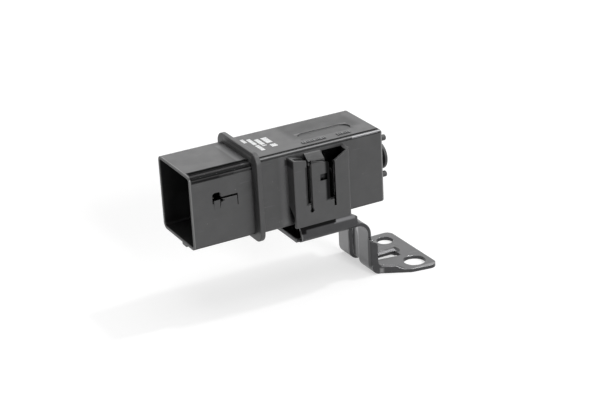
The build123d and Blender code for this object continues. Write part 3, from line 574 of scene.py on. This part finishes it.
@dataclass
class Finishes:
    """Every finish of the unit."""

    effects: Effects = field(default_factory=Effects)
    housing: Finish = Finish(
        "black_moulding", Slot.BLACK_PLASTIC, (0.05, 0.05, 0.051), (0.062, 0.062, 0.063),
        edge_share=0.15, patches=EDGE_LIGHTS + MOUTH_INSIDE_SHADE + ROOF_PAINTED_LIGHT + FAINT_OUTLINES
        + SHROUD_SHADE_LINES + BODY_SHADE_LINES + RECEIVER_LEFT + RECEIVER_MIDDLE)
    cover: Finish = Finish(
        "cover_moulding", Slot.BLACK_PLASTIC, (0.034, 0.034, 0.035), (0.045, 0.045, 0.046),
        dull=0.56, patches=VENT_SHADE)
    # The marks' moulding is painted lighter than the housing's, as a painted highlight on the
    # raised marks
    marks: Finish = Finish(
        "raised_marks", Slot.BLACK_PLASTIC, (0.085, 0.086, 0.088), (0.1, 0.101, 0.103),
        smooth=0.34, edge_radius=0.05, edge_colour=(0.2, 0.2, 0.21), cavity_share=0.1)
    # Its bright edge colour paints rubbed edges and a highlight on them
    bracket: Finish = Finish(
        "coated_sheet", Slot.COATED_STEEL, (0.054, 0.054, 0.056), (0.07, 0.07, 0.072),
        metallic=0.9, smooth=0.28, dull=0.36, grain_size=0.5, grain_depth=0.002, cloud_size=7.0,
        edge_radius=0.4, edge_colour=(0.42, 0.42, 0.43), edge_share=0.75, edge_full=0.06,
        scuff_share=0.12, hollow_share=0.0,
        patches=FOOT_LIGHTS + ARM_PAINTED_LIGHT + FLARE_LIGHTS + RECEIVER_SHADE)
    carrier: Finish = Finish(
        "carrier_moulding", Slot.CARRIER_PLASTIC, (0.03, 0.03, 0.031), (0.045, 0.045, 0.046))
    rubber: Finish = Finish(
        "seal_rubber_matt", Slot.SEAL_RUBBER, (0.035, 0.035, 0.035), (0.05, 0.05, 0.05),
        smooth=0.6, dull=0.75)
    membrane: Finish = Finish(
        "vent_disc", Slot.MEMBRANE, (0.5, 0.5, 0.49), (0.62, 0.62, 0.6),
        smooth=0.6, dull=0.8, grain_size=0.12, cloud_size=1.5, edge_share=0.0)
    terminal: Finish = Finish(
        "tinned_terminal", Slot.TINNED_COPPER, (0.55, 0.54, 0.51), (0.68, 0.67, 0.64),
        metallic=1.0, smooth=0.22, dull=0.36, cloud_size=2.0, edge_colour=(0.8, 0.72, 0.6),
        edge_share=0.3, edge_radius=0.1)
    board: Finish = Finish(
        "board_resist", Slot.BOARD, (0.012, 0.09, 0.035), (0.02, 0.14, 0.055),
        smooth=0.25, dull=0.4, grain_size=0.6, cloud_size=1.6, edge_colour=(0.4, 0.36, 0.2))
    aluminium: Finish = Finish(
        "spreader_aluminium", Slot.ALUMINIUM, (0.5, 0.51, 0.52), (0.62, 0.63, 0.64),
        metallic=1.0, smooth=0.3, dull=0.45, cloud_size=3.0, edge_colour=(0.8, 0.8, 0.8))
    chip: Finish = Finish(
        "chip_moulding", Slot.CHIP, (0.022, 0.022, 0.024), (0.032, 0.032, 0.034),
        smooth=0.45, dull=0.6, grain_size=0.15, edge_radius=0.08)
    can: Finish = Finish(
        "capacitor_sleeve", Slot.CAN, (0.5, 0.51, 0.53), (0.6, 0.61, 0.63),
        metallic=1.0, smooth=0.24, dull=0.34, edge_colour=(0.8, 0.8, 0.8))
    print_colours: tuple[Colour, Colour] = ((0.82, 0.83, 0.84), (0.95, 0.95, 0.95))
    print_rough: Range = (0.5, 0.65)
    print_scales: Range = (3200.0, 900.0)
    made: dict[str, bpy.types.Material] = field(default_factory=dict)

    def get(self, finish: Finish) -> bpy.types.Material:
        """Returns a finish's material, built at its first use."""
        if finish.name not in self.made:
            self.made[finish.name] = finish.material(self.effects)
        return self.made[finish.name]

    def white_print(self) -> bpy.types.Material:
        """Builds the thin white print, which lets the grain of the moulding show a little."""
        made, tree, shader = new_material("white_print")
        place = tree.add("TexCoord").outputs["Object"]
        fine, clouds = self.print_scales
        grain = tree.group(self.effects.grain, {
            "Vector": place, "Grain Scale": fine, "Cloud Scale": clouds})
        first, second = self.print_colours
        colour = tree.blend(grain.outputs["Tone"], (*first, 1.0), (*second, 1.0))
        tree.join(colour, shader.inputs["Base Color"])
        tree.join(tree.ramp(grain.outputs["Tone"], 0.0, 1.0, *self.print_rough),
                  shader.inputs["Roughness"])
        return made


# New meshes

# The levels of a pad, the lowest one below the surface: its height and how far its outline is
# drawn in, both as shares of the pad's height
PAD_LEVELS = ((-0.4, 0.0), (0.66, 0.0), (1.0, 0.34))
# The most that a corner takes of a narrow pad's half width
CORNER_SHARE = 0.9


def add_mesh(name: str, points: np.ndarray, faces: Sequence[Sequence[int]],
             material: bpy.types.Material) -> bpy.types.Object:
    """Makes a piece that rides on the body.

    Args:
        name: The piece's name.
        points: Its points, one row each, in millimetres.
        faces: Its faces as point numbers, seen from outside counter-clockwise.
        material: Its material.

    Returns:
        The new object, at the origin.
    """
    mesh = bpy.data.meshes.new(name)
    mesh.from_pydata((points * MM).tolist(), [], [list(face) for face in faces])
    mesh.update()
    mesh.materials.append(material)
    piece = bpy.data.objects.new(name, mesh)
    bpy.context.scene.collection.objects.link(piece)
    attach(piece, BODY)
    return piece


def rounded_pads(boxes: np.ndarray, base_z: float, height: float, corner: float,
                 steps: int = 4) -> tuple[np.ndarray, list[list[int]]]:
    """Low pads with rounded corners on a level surface.

    Each pad is a ring of points carried up its wall: the ring is four quarter circles of the
    corner radius, put at the pad's four inner corners, and it is set at each of the levels. One
    face closes the highest ring and one the lowest.

    Args:
        boxes: One row of x0, x1, y0, y1 for each pad, in millimetres.
        base_z: The height of the surface.
        height: How far the pads stand up.
        corner: The radius of their corners, made smaller on narrow pads.
        steps: Points in a quarter circle.

    Returns:
        The points and the faces of all the pads.
    """
    turn = np.concatenate([np.linspace(q, q + 1, steps) for q in range(4)]) * np.pi / 2
    right = np.repeat([1.0, -1.0, -1.0, 1.0], steps)
    back = np.repeat([1.0, 1.0, -1.0, -1.0], steps)
    middle = np.stack([boxes[:, :2].mean(1), boxes[:, 2:].mean(1)], 1)
    half = np.stack([np.ptp(boxes[:, :2], axis=1), np.ptp(boxes[:, 2:], axis=1)], 1) / 2
    radius = np.minimum(corner, half.min(1) * CORNER_SHARE)[:, None]
    rings = []
    for lift, inset in np.array(PAD_LEVELS) * height:
        x = middle[:, :1] + right * (half[:, :1] - radius) + (radius - inset) * np.cos(turn)
        y = middle[:, 1:] + back * (half[:, 1:] - radius) + (radius - inset) * np.sin(turn)
        rings.append(np.stack([x, y, np.full_like(x, base_z + lift)], 2))
    points = np.stack(rings, 1).reshape(-1, 3)
    count = 4 * steps
    ring = np.arange(count)
    after = np.roll(ring, -1)
    faces: list[list[int]] = []
    for start in range(0, len(points), len(rings) * count):
        top = start + (len(rings) - 1) * count
        for low in range(start, top, count):
            high = low + count
            faces += np.stack([low + ring, low + after, high + after, high + ring], 1).tolist()
        faces.append((top + ring).tolist())
        faces.append((start + ring[::-1]).tolist())
    return points, faces


@dataclass
class RoofMarks:
    """The white print and the small raised marks on the roof, all plain blocks without meaning."""

    finishes: Finishes
    mouth_x: float = -92.9
    near_y: float = -7.7
    roof_z: float = 58.5
    print_height: float = 0.03
    print_corner: float = 0.22
    mark_height: float = 0.3
    mark_corner: float = 0.2
    block_gap: float = 0.2
    # Each row of the print: distance from the mouth, height of the row, and its words by their
    # distances from the near side
    print_rows: tuple[tuple[float, float, tuple[tuple[float, float], ...]], ...] = (
        (40.6, 2.5, ((14.0, 19.8), (9.5, 12.1))),
        (37.5, 1.9, ((13.6, 19.8), (12.2, 12.9))),
        (35.0, 1.7, ((15.1, 21.6), (8.3, 14.2))),
        (32.7, 1.4, ((18.8, 22.8),)),
    )
    block_widths: tuple[float, ...] = (0.7, 1.0, 0.55, 0.85, 0.65, 1.1, 0.6)
    mark_side: float = 6.0
    mark_rise: float = 1.9
    mark_groups: tuple[tuple[float, float], ...] = ((50.2, 60.4), (65.4, 71.2))

    def _blocks(self, start: float, end: float, turn: int) -> list[tuple[float, float]]:
        """Splits a run into blocks of varying width.

        Args:
            start: Where the run begins.
            end: Where it ends.
            turn: Which of the block widths comes first.

        Returns:
            The two ends of each block.
        """
        blocks = []
        at = start
        while at < end - self.block_gap:
            width = self.block_widths[turn % len(self.block_widths)]
            blocks.append((at, min(at + width, end)))
            at += width + self.block_gap
            turn += 1
        return blocks

    def white_print(self) -> bpy.types.Object:
        """Builds the rows of white blocks near the collar."""
        boxes = []
        for row, (along, rise, words) in enumerate(self.print_rows):
            x = self.mouth_x + along
            for word, (start, end) in enumerate(words):
                for y0, y1 in self._blocks(start, end, 2 * row + word):
                    boxes.append((x - rise / 2, x + rise / 2, self.near_y + y0, self.near_y + y1))
        points, faces = rounded_pads(
            np.array(boxes), self.roof_z, self.print_height, self.print_corner)
        material = self.finishes.white_print()
        return add_mesh("roof_print", points, faces, material)

    def raised_marks(self) -> bpy.types.Object:
        """Builds the small raised blocks beside the label recess."""
        y = self.near_y + self.mark_side
        y0, y1 = y - self.mark_rise / 2, y + self.mark_rise / 2
        boxes = []
        for group, (start, end) in enumerate(self.mark_groups):
            for x0, x1 in self._blocks(start, end, 3 * group):
                boxes.append((self.mouth_x + x0, self.mouth_x + x1, y0, y1))
        finish = self.finishes.marks
        points, faces = rounded_pads(
            np.array(boxes), self.roof_z, self.mark_height, self.mark_corner)
        return add_mesh("roof_marks", points, faces, self.finishes.get(finish))


# CAD nodes


@dataclass
class Dresser:
    """Gives every CAD node its finish."""

    finishes: Finishes

    def choices(self) -> tuple[tuple[str, Finish], ...]:
        """Returns the start of the nodes' names with their finish, in the order of trial."""
        f = self.finishes
        return (
            ("housing", f.housing), ("rear_cover", f.cover), ("rear_seal", f.rubber),
            ("vent_membrane", f.membrane), ("terminal_carrier", f.carrier),
            ("bracket", f.bracket), ("circuit_board", f.board), ("heat_spreader", f.aluminium),
            ("capacitor", f.can), ("microcontroller", f.chip), ("voltage_regulator", f.chip),
            ("surge_diode", f.chip), ("power_switch", f.chip), ("current_shunt", f.chip),
            ("power_blade", f.terminal), ("output_blade", f.terminal),
            ("signal_pin", f.terminal), ("busbar", f.terminal))

    def dress(self, name: str, node: bpy.types.Object) -> None:
        """Puts the finish that belongs to a node's name into all of its material slots.

        Args:
            name: The node's name.
            node: Its object.
        """
        finish = next(choice for start, choice in self.choices() if name.startswith(start))
        material = self.finishes.get(finish)
        if not node.data.materials:
            node.data.materials.append(material)
        for index in range(len(node.data.materials)):
            node.data.materials[index] = material
        log.info("%s gets %s for the slot %s", name, finish.name, finish.slot.value)


# Studio


@dataclass
class Studio:
    """The pale floor, the soft light and the camera of the photograph."""

    floor_half: float = 2.5
    floor_colour: Colour = (0.56, 0.56, 0.56)
    floor_rough: float = 0.9
    floor_glow: float = 0.545
    world_light: float = 0.18
    # Each lamp: its name, the direction from the object to it, its strength and its angular width
    lamps: tuple[tuple[str, Place, float, float], ...] = (
        ("key", (0.52, -0.04, 0.85), 0.6, 0.09),
        ("top", (0.25, -0.1, 1.0), 1.15, 1.3),
        ("front", (0.06, -0.9, 0.42), 1.7, 0.3),
        ("back", (0.42, 0.82, 0.45), 0.3, 0.6),
    )
    camera_place: Place = (-314.37, -522.91, 288.53)
    camera_right: Place = (0.87694, -0.47794, -0.05049)
    camera_forward: Place = (0.42176, 0.81568, -0.39596)
    lens: float = 99.64
    sensor_width: float = 36.0
    view_range: Range = (0.01, 20.0)

    @staticmethod
    def _seen(tree: NodeTree) -> bpy.types.NodeSocket:
        """Returns 1 for camera, glossy and transmission rays, and 0 for the rays that light."""
        path = tree.add("LightPath")
        seen = tree.math("MAXIMUM", path.outputs["Is Camera Ray"], path.outputs["Is Glossy Ray"])
        return tree.math("MAXIMUM", seen, path.outputs["Is Transmission Ray"])

    def floor(self) -> bpy.types.Object:
        """Builds the floor, which glows a little to the camera and keeps the shadow."""
        half = self.floor_half
        mesh = bpy.data.meshes.new("floor")
        corners = [(-half, -half, 0), (half, -half, 0), (half, half, 0), (-half, half, 0)]
        mesh.from_pydata(corners, [], [(0, 1, 2, 3)])
        made, tree, shader = new_material("pale_floor")
        shader.inputs["Base Color"].default_value = (*self.floor_colour, 1.0)
        shader.inputs["Roughness"].default_value = self.floor_rough
        shader.inputs["Specular IOR Level"].default_value = 0.0
        shader.inputs["Emission Color"].default_value = (1.0, 1.0, 1.0, 1.0)
        glow = tree.math("MULTIPLY", self._seen(tree), self.floor_glow)
        tree.join(glow, shader.inputs["Emission Strength"])
        mesh.materials.append(made)
        floor = bpy.data.objects.new("floor", mesh)
        bpy.context.scene.collection.objects.link(floor)
        return floor

    def world(self) -> None:
        """Sets a plain world that is white to the camera and softer as a light."""
        world = bpy.data.worlds.new("studio")
        world.use_nodes = True
        bpy.context.scene.world = world
        tree = NodeTree(world.node_tree)
        back = world.node_tree.nodes["Background"]
        back.inputs["Color"].default_value = (1.0, 1.0, 1.0, 1.0)
        strength = tree.ramp(self._seen(tree), 0.0, 1.0, self.world_light, 1.0)
        tree.join(strength, back.inputs["Strength"])

    def lamp(self, name: str, towards: Place, strength: float, angle: float) -> None:
        """Adds a broad lamp that is far away.

        Args:
            name: The lamp's name.
            towards: The direction from the object to the lamp.
            strength: Its light on a surface that faces it.
            angle: Its width as an angle, which softens its shadows.
        """
        data = bpy.data.lights.new(name, "SUN")
        data.energy = strength
        data.angle = angle
        lamp = bpy.data.objects.new(name, data)
        lamp.rotation_euler = Vector(towards).to_track_quat("Z", "Y").to_euler()
        bpy.context.scene.collection.objects.link(lamp)

    def camera(self) -> None:
        """Adds the camera at the photograph's place, direction and focal length."""
        data = bpy.data.cameras.new("camera")
        data.lens = self.lens
        data.sensor_width = self.sensor_width
        data.clip_start, data.clip_end = self.view_range
        camera = bpy.data.objects.new("camera", data)
        right = Vector(self.camera_right).normalized()
        back = -Vector(self.camera_forward).normalized()
        up = back.cross(right).normalized()
        turned = Matrix((right, up, back)).transposed().to_4x4()
        camera.matrix_world = Matrix.Translation(Vector(self.camera_place) * MM) @ turned
        bpy.context.scene.collection.objects.link(camera)
        bpy.context.scene.camera = camera

    def build(self) -> None:
        """Builds the whole studio."""
        self.floor()
        self.world()
        for name, towards, strength, angle in self.lamps:
            self.lamp(name, towards, strength, angle)
        self.camera()
        bpy.context.scene.view_settings.view_transform = "Standard"


def main() -> None:
    """Builds the studio and the pieces, and reports each piece."""
    logging.basicConfig(level=logging.INFO, format="%(name)s: %(message)s")
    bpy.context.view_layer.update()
    Studio().build()
    finishes = Finishes()
    dresser = Dresser(finishes)
    for name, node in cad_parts.items():
        dresser.dress(name, node)
    marks = RoofMarks(finishes)
    for piece in (marks.white_print(), marks.raised_marks()):
        log.info("%s has %d faces", piece.name, len(piece.data.polygons))


if __name__ == "__main__":
    main()
